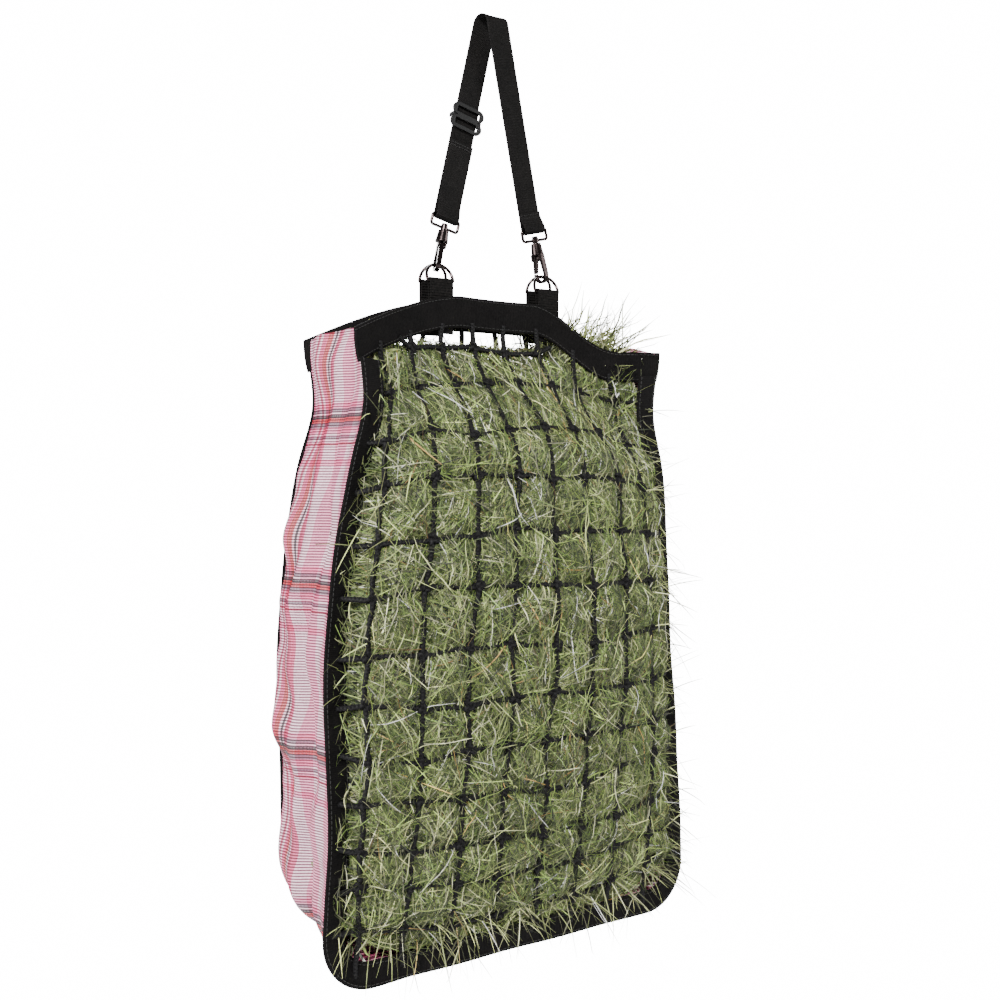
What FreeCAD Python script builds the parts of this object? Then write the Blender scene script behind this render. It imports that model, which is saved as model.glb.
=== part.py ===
"""Hay net: two corded net panels joined by a mesh gusset, hung on one webbing strap by two snap hooks.

Millimetres. +X to the right, +Y to the back, +Z up. The origin is the inner top of the strap's fold,
which is where the net hangs from its hook or bar.
"""

import math
import os

import FreeCAD
import Part

V = FreeCAD.Vector

# Webbing strap
STRAP_W = 25.4
STRAP_T = 1.5
FOLD_R = 7.0  # inner radius of the fold over the hanger
LOOP_C = V(53.0, 0, -212.0)  # centre of the right wire loop
LEG_TILT = 13.8  # degrees between a leg and the vertical
WRAP_R = 2.8  # inner radius of the webbing round a loop's bar
SEWN_END = 18.0
TAIL = 78.0  # length of the strap's left end, up the front of its leg
SLIDER_S = 104.0  # height of the slider above the left loop's bar, along the leg
RETURN_GAP = 2.2  # main layer to adjusting layer, centre to centre
TAIL_GAP = 4.4  # main layer to sewn tail, centre to centre

# Swivel hooks
WIRE_R = 1.5
LOOP_W, LOOP_H = 30.0, 11.0  # wire centre lines
HOOK_TILT = 12.2
EYE_DOWN = 41.85  # loop centre to eye centre
EYE_R = 5.3
EYE_WALL = 2.4
HOOK_TURN = {"left": -15.0, "right": 195.0}
POST_R = 1.7
POST_FIT = 0.05
RIVET_R = 0.9
RIVET_FIT = 0.06

# Rings and tabs
RING_R = 14.3
RING_STRAIGHT = 4.0
RING_TOP = V(63.0, -1.85, -253.9)
RING_BAR = V(63.0, -8.3, -271.0)
TAB_X = 64.5
TAB_FOOT_Z = -322.0

# Bag
FACE_Y = 52.5  # half the depth of the gusset
FRONT = {"top": 175.0, "z_top": -331.0, "low": 212.0, "z_low": -915.5}
BACK = {"top": 178.0, "z_top": -329.0, "low": 205.0, "z_low": -837.5}
CORNER_R = 50.0
BAND_H = 31.0
BAND_T = 2.5
BAND_LOW, BAND_ARCH = -330.5, 46.0
MOUTH_HALF = 8.5  # half the mouth's width at mid span
BINDING_W, BINDING_T = 25.0, 3.0
GUSSET_T = 1.5
GUSSET_INSET = 4.0
BULGE = {"front": 45.0, "back": 45.0}
CORD_R = 2.0
UPRIGHTS = [-165, -121, -77, -33, 11, 55, 99, 143]
CROSSES = [-340, -379, -424, -468, -517, -565, -614, -663, -708, -750, -792, -830, -866]
HAY_GAP = 8.0
PINCH = 10.0
BOW = 15.0

parts = {}


def unit(v):
    return V(v).normalize()


def loft(sections):
    """A solid through closed polygons, with straight rulings."""
    wires = [Part.makePolygon(list(s) + [s[0]]) for s in sections]
    return Part.makeLoft(wires, True, True)


def faceted(sections):
    """A solid through closed polygons, with two triangles to each ruling quad."""
    faces = []
    n = len(sections[0])
    for a, b in zip(sections, sections[1:]):
        for j in range(n):
            k = (j + 1) % n
            faces.append(Part.Face(Part.makePolygon([a[j], a[k], b[k], a[j]])))
            faces.append(Part.Face(Part.makePolygon([a[j], b[k], b[j], a[j]])))
    for end in [sections[0], sections[-1]]:
        middle = sum(end[1:], V(end[0])) * (1.0 / n)
        for j in range(n):
            faces.append(Part.Face(Part.makePolygon([middle, end[j], end[(j + 1) % n], middle])))
    solid = Part.makeSolid(Part.makeShell(faces))
    solid.fix(1e-4, 1e-4, 1e-4)
    return solid if solid.Volume > 0 else solid.reversed()


def ribbon(stations, width, thick):
    """Webbing along stations of centre, width direction and face normal."""
    out = []
    for p, w, n in stations:
        a, b = w * (width / 2), n * (thick / 2)
        out.append([p - a - b, p + a - b, p + a + b, p - a + b])
    return loft(out)


def cord(points, flat=None):
    """A six-sided cord through points. flat gives each point's share of the full depth."""
    out = []
    for i, p in enumerate(points):
        t = unit(points[min(i + 1, len(points) - 1)] - points[max(i - 1, 0)])
        n = unit(V(0, 1, 0) - t * t.y)
        b = t.cross(n)
        k = 1.0 if flat is None else flat[i]
        ring = []
        for j in range(6):
            a = math.radians(60 * j)
            ring.append(p + b * (CORD_R * math.cos(a)) + n * (CORD_R * k * math.sin(a)))
        out.append(ring)
    return loft(out)


def tube(edges, start, direction, r):
    """Round wire of radius r along joined edges."""
    circle = Part.Wire([Part.makeCircle(r, start, direction)])
    return Part.Wire(edges).makePipeShell([circle], True, False)


def plate(points, centre, u, w, v, low, high):
    """A flat plate: points in the u, w plane, from low to high along v."""
    poly = Part.makePolygon([centre + u * a + w * b + v * low for a, b in points + points[:1]])
    return Part.Face(poly).extrude(v * (high - low))


# ---------------------------------------------------------------- strap


def leg_frame(side):
    """Bar centre, direction up the leg and direction across the webbing."""
    t = math.radians(LEG_TILT)
    s = -1 if side == "left" else 1
    up = V(-s * math.sin(t), 0, math.cos(t))
    across = V(math.cos(t), 0, s * math.sin(t))
    bar = V(s * LOOP_C.x, 0, LOOP_C.z) + up * (LOOP_H / 2)
    return bar, up, across


def wrap(side, back_first):
    """Stations round the loop's bar, from the back layer to the front one or the other way."""
    bar, up, across = leg_frame(side)
    r = WRAP_R + STRAP_T / 2
    out = []
    for k in range(13):
        a = math.pi * k / 12
        y, z = r * math.cos(a), -r * math.sin(a)
        n = V(0, math.cos(a), 0) - up * math.sin(a)
        out.append((bar + V(0, y, 0) + up * z, across, n))
    return out if back_first else out[::-1]


def main_line(side):
    """Where the main layer leaves its wrap, and where it meets the fold."""
    bar = leg_frame(side)[0]
    s = -1 if side == "left" else 1
    r = FOLD_R + STRAP_T / 2
    low = bar + V(0, WRAP_R + STRAP_T / 2, 0)
    dx = math.pi * r * math.tan(math.radians(LEG_TILT)) / 2
    return low, V(s * dx, -s * r, -FOLD_R)


def tail_stations(side, length, gap):
    """The layer in front of the main one, from the wrap up the leg."""
    bar, up, across = leg_frame(side)
    low, high = main_line(side)
    run = (high - low).Length
    r = WRAP_R + STRAP_T / 2
    out = []
    for s in [4, 8, 12, 16, 20, 24, length * 0.5, length]:
        if s > length or (out and s <= out[-1][0]):
            continue
        k = min(s / 16.0, 1.0)
        k = k * k * (3 - 2 * k)
        main_y = low.y + (high.y - low.y) * s / run
        y = -r * (1 - k) + (main_y - gap) * k
        out.append((s, (bar + up * s + V(0, y, 0), across, V(0, -1, 0))))
    return [q for _, q in out]


def strap():
    c, s = math.cos(math.radians(LEG_TILT)), math.sin(math.radians(LEG_TILT))
    r = FOLD_R + STRAP_T / 2
    stations = tail_stations("left", TAIL, TAIL_GAP)[::-1]
    stations += wrap("left", False)
    low, high = main_line("left")
    across = leg_frame("left")[2]
    for k in [0.15, 0.35, 0.55, 0.75, 0.92]:
        stations.append((low + (high - low) * k, across, V(0, 1, 0)))
    for k in range(17):
        a = math.pi * k / 16
        x = (k / 8 - 1) * math.pi * r * math.tan(math.radians(LEG_TILT)) / 2
        centre = V(x, r * math.cos(a), r * math.sin(a) - FOLD_R)
        turned = V(c, s * math.sin(a), -s * math.cos(a))
        stations.append((centre, turned, V(0, math.cos(a), math.sin(a))))
    low, high = main_line("right")
    across = leg_frame("right")[2]
    for k in [0.92, 0.75, 0.55, 0.35, 0.15]:
        stations.append((low + (high - low) * k, across, V(0, -1, 0)))
    back = wrap("right", True)
    stations += [(p, w, n * -1) for p, w, n in back]
    for p, w, n in tail_stations("right", SEWN_END, STRAP_T + 0.1):
        stations.append((p, w, V(0, 1, 0)))
    return ribbon(stations, STRAP_W, STRAP_T)


def slider_at(s, off):
    """A point on the left leg, off millimetres in front of the main layer's centre."""
    low, high = main_line("left")
    d = unit(high - low)
    return low + d * s + V(0, -off, 0)


def slider():
    low, high = main_line("left")
    up = unit(high - low)
    across = leg_frame("left")[2]
    out = unit(up.cross(across))
    if out.y > 0:
        out = out * -1
    c = slider_at(SLIDER_S, 4.6)
    outline = []
    for lobe in [1, -1]:
        centre_w = 6.6 * lobe
        for k in range(9):
            a = math.radians(-90 + 180 * k / 8) * lobe
            outline.append((11.4 + 6.4 * math.cos(a), centre_w - 6.4 * math.sin(-a * 1.0)))
    right = sorted(outline, key=lambda q: -q[1])
    left = [(-a, b) for a, b in right[::-1]]
    body = plate(right + left, c, across, up, out, -1.2, 1.2)
    for lobe in [1, -1]:
        slot = [(-13.2, lobe * 3.0), (13.2, lobe * 3.0), (13.2, lobe * 9.2), (-13.2, lobe * 9.2)]
        body = body.cut(plate(slot, c, across, up, out, -3, 3))
    for side in [1, -1]:
        rail = [(side * 13.6, -2.0), (side * 16.4, -2.0), (side * 16.4, 2.0), (side * 13.6, 2.0)]
        body = body.fuse(plate(rail, c, across, up, out, -7.4, 0))
    keeper = [(-16.4, -2.0), (16.4, -2.0), (16.4, 2.0), (-16.4, 2.0)]
    body = body.fuse(plate(keeper, c, across, up, out, -7.6, -5.8))
    return body.removeSplitter()


def strap_return():
    across = leg_frame("left")[2]
    stations = []
    for s in [34.0, 60.0, 80.0, SLIDER_S - 4.0, SLIDER_S + 11.0]:
        stations.append((slider_at(s, RETURN_GAP), across, V(0, 1, 0)))
    return ribbon(stations, STRAP_W - 0.6, STRAP_T)


parts["strap_webbing"] = strap()
parts["slider_frame"] = slider()
parts["strap_return_webbing"] = strap_return()


# ---------------------------------------------------------------- swivel hooks


def hook_frame(side):
    """Loop centre, eye centre, and the hook's own axes: across, up its length, and along its eye."""
    s = -1 if side == "left" else 1
    t = math.radians(HOOK_TILT)
    up = V(-s * math.sin(t), 0, math.cos(t))
    loop = V(s * LOOP_C.x, 0, LOOP_C.z)
    eye = loop - up * EYE_DOWN
    a = math.radians(HOOK_TURN[side])
    h = V(math.cos(a), math.sin(a), 0)
    v = unit(h - up * h.dot(up))
    u = unit(up.cross(v))
    return loop, eye, u, up, v


def rounded_loop(centre, across, up, width, height, r_corner):
    """Edges of a rounded rectangle, with the first point and direction."""
    w, h, r = width / 2, height / 2, r_corner

    def at(a, b):
        return centre + across * a + up * b

    k = r * (1 - math.sqrt(0.5))
    edges = [
        Part.makeLine(at(0, -h), at(w - r, -h)),
        Part.Arc(at(w - r, -h), at(w - k, -h + k), at(w, -h + r)).toShape(),
        Part.makeLine(at(w, -h + r), at(w, h - r)),
        Part.Arc(at(w, h - r), at(w - k, h - k), at(w - r, h)).toShape(),
        Part.makeLine(at(w - r, h), at(-w + r, h)),
        Part.Arc(at(-w + r, h), at(-w + k, h - k), at(-w, h - r)).toShape(),
        Part.makeLine(at(-w, h - r), at(-w, -h + r)),
        Part.Arc(at(-w, -h + r), at(-w + k, -h + k), at(-w + r, -h)).toShape(),
        Part.makeLine(at(-w + r, -h), at(0, -h)),
    ]
    return edges, at(0, -h), across


def hook_parts(side):
    loop_c, eye, u, up, v = hook_frame(side)
    bar, leg_up, across = leg_frame(side)
    edges, start, way = rounded_loop(loop_c, across, leg_up, LOOP_W, LOOP_H, 2.5)
    ring = tube(edges, start, way, WIRE_R)
    boss_low = EYE_DOWN - LOOP_H / 2 - 2.4
    boss = Part.makeCylinder(3.4, 4.8, eye + up * boss_low, up)
    ring = ring.fuse(boss).cut(Part.makeCylinder(POST_R + POST_FIT, 12, eye + up * (boss_low - 3), up))
    parts[side + "_swivel_loop"] = ring.removeSplitter()

    collar_top = boss_low - 0.6
    post = Part.makeCylinder(POST_R, 9.0 + 0.6 + 4.8 - 5.0 + 0.4, eye + up * (collar_top - 4.4), up)
    head = Part.makeCylinder(3.0, 1.5, eye + up * (boss_low + 4.8 + 0.35), up)
    parts[side + "_swivel_post"] = post.fuse(head).removeSplitter()

    outer = EYE_R + EYE_WALL
    bow = Part.makeCylinder(outer, 4.6, eye - v * 2.3, v)
    bow = bow.cut(Part.makeCylinder(EYE_R, 8, eye - v * 4, v))
    above = [(-20, 0), (20, 0), (20, 20), (-20, 20)]
    bow = bow.cut(plate(above, eye, u, up, v, -6, 6))
    tip = plate([(-outer, 0), (-EYE_R, 0), (-EYE_R - 0.2, 2.4), (-outer + 0.2, 2.4)], eye, u, up, v, -2.3, 2.3)
    spine = plate([(EYE_R, 0), (outer, 0), (6.3, 22), (2.2, 22)], eye, u, up, v, -2.8, 2.8)
    body = bow.fuse(tip).fuse(spine)
    collar = Part.makeCone(6.4, 5.0, collar_top - 22.0, eye + up * 22.0, up)
    body = body.fuse(collar)
    for low, high in [(-4.4, -2.9), (2.9, 4.4)]:
        cheek = [(-6.0, 15.4), (-0.6, 15.4), (-0.6, 22.4), (-6.0, 22.4)]
        body = body.fuse(plate(cheek, eye, u, up, v, low, high))
    pivot = eye + u * -3.4 + up * 18.8
    body = body.cut(Part.makeCylinder(RIVET_R, 12, pivot - v * 6, v))
    body = body.cut(Part.makeCylinder(POST_R, 4.5, eye + up * (collar_top - 4.4), up))
    parts[side + "_hook_body"] = body.removeSplitter()

    lever = plate([(-7.4, 2.9), (-5.2, 2.9), (-1.3, 18.2), (-5.4, 19.4)], eye, u, up, v, -2.4, 2.4)
    lever = lever.fuse(Part.makeCylinder(2.3, 4.8, pivot - v * 2.4, v))
    lever = lever.cut(Part.makeCylinder(RIVET_R + RIVET_FIT, 12, pivot - v * 6, v))
    parts[side + "_gate_lever"] = lever.removeSplitter()
    parts[side + "_gate_rivet"] = Part.makeCylinder(RIVET_R, 8.8, pivot - v * 4.4, v)


hook_parts("left")
hook_parts("right")


# ---------------------------------------------------------------- mouth bands, rings and tabs


def arch(x):
    """Height of a mouth band's top edge: a long slope on the left and a short one on the right."""
    if x < -40:
        return BAND_LOW + BAND_ARCH * (1 - ((-x - 40) / 141.0) ** 1.5)
    k = min(max((x - 40) / 95.0, 0), 1)
    return BAND_LOW + BAND_ARCH * (1 + math.cos(math.pi * k)) / 2


def mouth_y(x, half):
    """Distance of a mouth band from the mid plane."""
    k = min(abs(x) / half, 1)
    return MOUTH_HALF + (FACE_Y - MOUTH_HALF) * k * k


def band(sign, half):
    stations = []
    for i in range(45):
        x = -half - 1 + (2 * half + 2) * i / 44
        y = sign * mouth_y(x, half)
        slope = (mouth_y(x + 1, half) - mouth_y(x - 1, half)) / 2 * sign
        n = unit(V(-slope, 1, 0))
        stations.append((V(x, y, arch(x) - BAND_H / 2), V(0, 0, 1), n))
    return ribbon(stations, BAND_H, BAND_T)


parts["front_top_band"] = band(-1, FRONT["top"])
parts["back_top_band"] = band(1, BACK["top"])


def d_ring(side, face):
    s = -1 if side == "left" else 1
    f = 1 if face == "front" else -1
    bar = V(s * RING_BAR.x, f * RING_BAR.y, RING_BAR.z)
    top = V(s * RING_TOP.x, f * RING_TOP.y, RING_TOP.z)
    x, w = V(1, 0, 0), unit(top - bar)
    h = RING_STRAIGHT

    def at(a, b):
        return bar + x * a + w * b

    r, c = RING_R, 2.2
    k = c * (1 - math.sqrt(0.5))
    edges = [
        Part.makeLine(at(0, 0), at(r - c, 0)),
        Part.Arc(at(r - c, 0), at(r - k, k), at(r, c)).toShape(),
        Part.makeLine(at(r, c), at(r, h)),
        Part.Arc(at(r, h), at(0, h + r), at(-r, h)).toShape(),
        Part.makeLine(at(-r, h), at(-r, c)),
        Part.Arc(at(-r, c), at(-r + k, k), at(-r + c, 0)).toShape(),
        Part.makeLine(at(-r + c, 0), at(0, 0)),
    ]
    return tube(edges, bar, x, WIRE_R)


def tab(side, face):
    """Webbing folded over the ring's bar, both layers sewn inside the band."""
    s = -1 if side == "left" else 1
    f = 1 if face == "front" else -1
    half = FRONT["top"] if face == "front" else BACK["top"]
    bar = V(s * RING_BAR.x, f * RING_BAR.y, RING_BAR.z)
    face_y = -f * mouth_y(TAB_X, half) + f * (BAND_T / 2 + STRAP_T / 2 + 2.9)
    foot = V(bar.x, face_y, TAB_FOOT_Z)
    knee = V(bar.x, face_y, -300.0)
    up = unit(bar - knee)
    side_n = unit(V(0, -up.z, up.y))
    if side_n.y * f > 0:
        side_n = side_n * -1
    r = WIRE_R + 0.1 + STRAP_T / 2
    x = V(1, 0, 0)
    flat = V(0, -f, 0)
    stations = [(foot + flat * 0.85, x, flat), (knee + flat * 0.85, x, flat)]
    for k in range(13):
        a = math.pi * k / 12
        n = side_n * math.cos(a) + up * math.sin(a)
        stations.append((bar + n * r, x, n))
    stations += [(knee - flat * 0.85, x, flat * -1), (foot - flat * 0.85, x, flat * -1)]
    return ribbon(stations, 25.4, STRAP_T)


for ring_side in ["left", "right"]:
    for ring_face in ["front", "back"]:
        name = ring_side + "_" + ring_face
        parts[name + "_d_ring"] = d_ring(ring_side, ring_face)
        parts[name + "_tab"] = tab(ring_side, ring_face)


# ---------------------------------------------------------------- panels


def half_width(panel, z):
    """Half the width of a panel at height z, outside its binding."""
    k = (panel["z_top"] - z) / (panel["z_top"] - panel["z_low"])
    return panel["top"] + (panel["low"] - panel["top"]) * k


def settle(p):
    """A point of the bag where it really hangs: pinched in under the mouth, and bowed out on the left."""
    t = min(max((FRONT["z_top"] - p.z) / (FRONT["z_top"] - FRONT["z_low"]), 0), 1)
    start = min(t / 0.05, 1)
    out = -PINCH * math.exp(-(((t - 0.11) / 0.07) ** 2))
    if p.x < 0:
        out += BOW * math.exp(-(((t - 0.46) / 0.22) ** 2))
    return V(p.x * (1 + start * out / half_width(FRONT, p.z)), p.y, p.z)


def u_path(panel, inset, n_side=14, n_arc=10, n_low=10, start_drop=0.0):
    """Points and inward directions round a panel's left, bottom and right edges."""
    top = V(-panel["top"], 0, panel["z_top"])
    low = V(-panel["low"], 0, panel["z_low"])
    a, b = unit(top - low), V(1, 0, 0)
    phi = math.acos(a.dot(b))
    run = CORNER_R / math.tan(phi / 2)
    centre = low + unit(a + b) * (CORNER_R / math.sin(phi / 2))
    inward = unit(V(a.z, 0, -a.x))
    start = top - a * start_drop
    end = low + a * run
    out = []
    for i in range(n_side):
        out.append((start + (end - start) * (i / n_side), inward))
    first = (end - centre).normalize()
    turn = math.pi - phi
    for i in range(n_arc + 1):
        t = turn * i / n_arc
        d = V(first.x * math.cos(t) - first.z * math.sin(t), 0, first.x * math.sin(t) + first.z * math.cos(t))
        out.append((centre + d * CORNER_R, d * -1))
    for i in range(1, n_low + 1):
        x = out[n_side + n_arc][0].x * (1 - i / n_low)
        out.append((V(x, 0, panel["z_low"]), V(0, 0, 1)))
    mirrored = [(V(-p.x, 0, p.z), V(-n.x, 0, n.z)) for p, n in out[:-1][::-1]]
    return [(p + n * inset, n) for p, n in out + mirrored]


def binding(panel, y):
    stations = []
    for p, n in u_path(panel, BINDING_W / 2, start_drop=24.0):
        stations.append((settle(V(p.x, y, p.z)), n, V(0, 1, 0)))
    return ribbon(stations, BINDING_W, BINDING_T)


parts["front_binding"] = binding(FRONT, -FACE_Y)
parts["back_binding"] = binding(BACK, FACE_Y)


def gusset():
    """The strip that joins the panels. Its middle is drawn in, most at the top."""
    y = FACE_Y - BINDING_T / 2
    a = u_path(FRONT, GUSSET_INSET, start_drop=10)
    b = u_path(BACK, GUSSET_INSET, start_drop=10)
    out = []
    for (p, n), (q, m) in zip(a, b):
        k = min(max((p.z + 560.0) / 230.0, 0), 1)
        pull = 3.0 + 15.0 * k * k
        mid_n = unit(n + m)
        front, back = V(p.x, -y, p.z), V(q.x, y, q.z)
        outer = [front, (front + back) * 0.5 + mid_n * pull, back]
        inner = [back + m * GUSSET_T, (front + back) * 0.5 + mid_n * (pull + GUSSET_T), front + n * GUSSET_T]
        out.append([settle(c) for c in outer + inner])
    return faceted(out)


parts["gusset_strip"] = gusset()


def smooth(k):
    k = min(max(k, 0), 1)
    return k * k * (3 - 2 * k)


def net_y(face, x, z):
    """Depth of a net panel: held by the band at the mouth, pushed out by the hay below."""
    panel = FRONT if face == "front" else BACK
    z_high = arch(x) - BAND_H
    s = min(max((z_high - z) / (z_high - panel["z_low"] - BINDING_W), 0), 1)
    f = smooth(s / 0.22)
    edge = half_width(panel, z) - 14
    across = max(1 - (x / edge) ** 2, 0) ** 0.75
    bulge = BULGE[face] * across * math.sin(math.pi * s**0.8) ** 0.9 if 0 < s < 1 else 0
    y = mouth_y(x, panel["top"]) * (1 - f) + FACE_Y * f + bulge * f
    return -y if face == "front" else y


def upright(face, x0):
    panel = FRONT if face == "front" else BACK
    points, flat = [], []
    z_low = panel["z_low"] + 12
    n = 26
    for i in range(n + 1):
        x = x0
        z_high = arch(x0 * 0.85) - BAND_H + 8
        z = z_high + (z_low - z_high) * i / n
        x = x0 * (half_width(panel, z) - 25) / 172
        points.append(settle(V(x, net_y(face, x, z), z)))
        flat.append(0.35 if i in (0, n) else 1.0)
    return cord(points, flat)


def cross(face, z):
    panel = FRONT if face == "front" else BACK
    points, flat = [], []
    edge = half_width(panel, z) - 13
    s = 1 if face == "front" else -1
    n = 24
    for i in range(n + 1):
        x = -edge + 2 * edge * i / n
        end = i in (0, n)
        shift = 0.0 if end else 2 * CORD_R + 0.3
        points.append(settle(V(x, net_y(face, x, z) + s * shift, z)))
        flat.append(0.35 if end else 1.0)
    return cord(points, flat)


def inside_corner(face, z):
    """Whether a whole cross cord fits above the rounded corners."""
    panel = FRONT if face == "front" else BACK
    return z > panel["z_low"] + BINDING_W + 8


for net_face in ["front", "back"]:
    ups = [upright(net_face, x0) for x0 in UPRIGHTS]
    parts[net_face + "_net_uprights"] = Part.makeCompound(ups)
    rows = [cross(net_face, z) for z in CROSSES if z < BAND_LOW - BAND_H and inside_corner(net_face, z)]
    parts[net_face + "_net_crosses"] = Part.makeCompound(rows)


def hay():
    """The hay that fills the net: horizontal sections inside both nets and the gusset."""
    sections = []
    levels = [-352, -362, -376, -392, -412, -440, -480, -530, -590, -650, -710, -760, -800, -830, -855, -875, -890]
    n = 14
    for z in levels:
        drop = min(z - FRONT["z_low"] - 6.0, CORNER_R)
        corner = CORNER_R - math.sqrt(max(CORNER_R**2 - (CORNER_R - drop) ** 2, 0))
        k = min(max((z + 560.0) / 230.0, 0), 1)
        edge = half_width(FRONT, z) - GUSSET_INSET - GUSSET_T - 7.5 - 17.0 * k * k - corner
        slope = (BACK["z_low"] - FRONT["z_low"]) / (2 * FACE_Y)

        def floor_y(x):
            out = min(max(abs(x) - (edge + corner - CORNER_R + 13), 0), CORNER_R - 2)
            rise = CORNER_R - math.sqrt(CORNER_R**2 - out**2)
            return (z - FRONT["z_low"] - 16 - 1.3 * rise) / slope - FACE_Y

        inner = min(half_width(FRONT, z) - BINDING_W - 5.0, edge - 1.0)
        seam = FACE_Y - BINDING_T / 2 - 1.5
        spots = [-edge] + [-inner + 2 * inner * i / (n - 2) for i in range(n - 1)] + [edge]
        ring = []
        for i, x in enumerate(spots):
            y = min(net_y("front", x, z) + HAY_GAP, -2.0)
            if z < -860:
                y = min(y, floor_y(x) - 6)
            if i in (0, 1, n - 1, n) or z < -868 or z < -825 and abs(x) > edge + corner - CORNER_R - 20:
                y = max(y, -seam)
            ring.append(V(x, y, z))
        for i, x in enumerate(spots[::-1]):
            y = max(net_y("back", x, z) - HAY_GAP, 2.0) if z > BACK["z_low"] else FACE_Y
            if i in (0, 1, n - 1, n):
                y = min(y, seam)
            ring.append(V(x, max(min(y, floor_y(x)), ring[n - i].y + 2.0), z))
        sections.append([settle(p) for p in ring])
    return faceted(sections)


parts["hay_fill"] = hay()

os.makedirs("parts", exist_ok=True)
for node, shape in parts.items():
    shape.exportStep("parts/" + node + ".step")
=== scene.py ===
"""The hay net's visual model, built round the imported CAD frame. Metres, in the row frame."""

import math

import bpy
import numpy as np
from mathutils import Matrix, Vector


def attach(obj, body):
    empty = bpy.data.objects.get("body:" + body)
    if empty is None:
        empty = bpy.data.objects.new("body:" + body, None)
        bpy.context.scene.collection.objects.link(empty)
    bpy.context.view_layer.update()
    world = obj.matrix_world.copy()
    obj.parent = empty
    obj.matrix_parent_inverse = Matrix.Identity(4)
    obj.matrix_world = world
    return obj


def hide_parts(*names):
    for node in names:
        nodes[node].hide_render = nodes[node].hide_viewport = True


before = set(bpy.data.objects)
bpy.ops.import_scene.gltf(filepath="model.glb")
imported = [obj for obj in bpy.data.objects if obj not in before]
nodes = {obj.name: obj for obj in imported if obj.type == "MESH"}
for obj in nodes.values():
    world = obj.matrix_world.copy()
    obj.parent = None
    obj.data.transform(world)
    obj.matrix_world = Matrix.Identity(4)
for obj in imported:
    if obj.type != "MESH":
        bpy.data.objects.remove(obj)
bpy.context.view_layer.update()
rng = np.random.default_rng(11)
MM = 0.001

# The CAD's driving sizes, in millimetres
FACE_Y = 52.5
FRONT = {"top": 175.0, "z_top": -331.0, "low": 212.0, "z_low": -915.5}
BACK = {"top": 178.0, "z_top": -329.0, "low": 205.0, "z_low": -837.5}
CORNER_R = 50.0
BAND_H, BAND_LOW, BAND_ARCH, MOUTH_HALF = 31.0, -330.5, 46.0, 8.5
UPRIGHTS = [-165, -121, -77, -33, 11, 55, 99, 143]
CROSSES = [-340, -379, -424, -468, -517, -565, -614, -663, -708, -750, -792, -830, -866]
BULGE = 45.0
PINCH, BOW = 10.0, 15.0  # how far the sides draw in under the mouth, and how far the left one bows out
TILT = math.radians(13.8)
GUSSET_CUT = 118.0  # width that the strip is cut to: 105 mm between its seams, and an eighth more to gather
HAY_REACH = 110.0  # the furthest that a stem stands from the middle plane
CORD_R, KNOT_CORD_R = 2.5, 2.1


# ---------------------------------------------------------------- materials


def material(name, rough=0.6, metal=0.0):
    m = bpy.data.materials.new(name)
    m.use_nodes = True
    tree = m.node_tree
    bsdf = tree.nodes["Principled BSDF"]
    bsdf.inputs["Roughness"].default_value = rough
    bsdf.inputs["Metallic"].default_value = metal
    return m, tree, bsdf


class Graph:
    """Short calls for shader nodes."""

    def __init__(self, tree):
        self.t = tree

    def node(self, kind, **values):
        n = self.t.nodes.new(kind)
        for k, v in values.items():
            setattr(n, k, v)
        return n

    def put(self, socket, value):
        if isinstance(value, bpy.types.NodeSocket):
            self.t.links.new(value, socket)
        else:
            socket.default_value = value

    def math(self, op, a, b=0.0, clamp=False):
        n = self.node("ShaderNodeMath", operation=op, use_clamp=clamp)
        self.put(n.inputs[0], a)
        self.put(n.inputs[1], b)
        return n.outputs[0]

    def ramp(self, fac, stops, mode="LINEAR"):
        n = self.node("ShaderNodeValToRGB")
        n.color_ramp.interpolation = mode
        e = n.color_ramp.elements
        while len(e) > 1:
            e.remove(e[-1])
        e[0].position, e[0].color = stops[0][0], (*stops[0][1], 1)
        for p, c in stops[1:]:
            e.new(p).color = (*c, 1)
        self.put(n.inputs[0], fac)
        return n.outputs[0]

    def mix(self, fac, a, b, mode="MIX"):
        n = self.node("ShaderNodeMix", data_type="RGBA", blend_type=mode)
        self.put(n.inputs[0], fac)
        self.put(n.inputs[6], a)
        self.put(n.inputs[7], b)
        return n.outputs[2]

    def noise(self, vector, scale, detail=3.0):
        n = self.node("ShaderNodeTexNoise")
        n.inputs["Scale"].default_value = scale
        n.inputs["Detail"].default_value = detail
        if vector is not None:
            self.put(n.inputs["Vector"], vector)
        return n.outputs[0]

    def split(self, vector):
        n = self.node("ShaderNodeSeparateXYZ")
        self.put(n.inputs[0], vector)
        return n.outputs

    def uv(self):
        return self.node("ShaderNodeUVMap").outputs[0]

    def coords(self):
        return self.node("ShaderNodeTexCoord").outputs["Object"]

    def bump(self, height, strength, distance):
        n = self.node("ShaderNodeBump")
        n.inputs["Strength"].default_value = strength
        n.inputs["Distance"].default_value = distance
        self.put(n.inputs["Height"], height)
        return n.outputs[0]


def black_nickel():
    m, tree, bsdf = material("black_nickel", 0.22, 1.0)
    g = Graph(tree)
    spots = g.noise(g.coords(), 160.0)
    stops = [(0.3, (0.02, 0.016, 0.016)), (0.7, (0.075, 0.058, 0.056))]
    g.put(bsdf.inputs["Base Color"], g.ramp(spots, stops))
    bevel = g.node("ShaderNodeBevel", samples=4)
    bevel.inputs["Radius"].default_value = 0.0006
    g.put(bsdf.inputs["Normal"], bevel.outputs[0])
    return m


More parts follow.
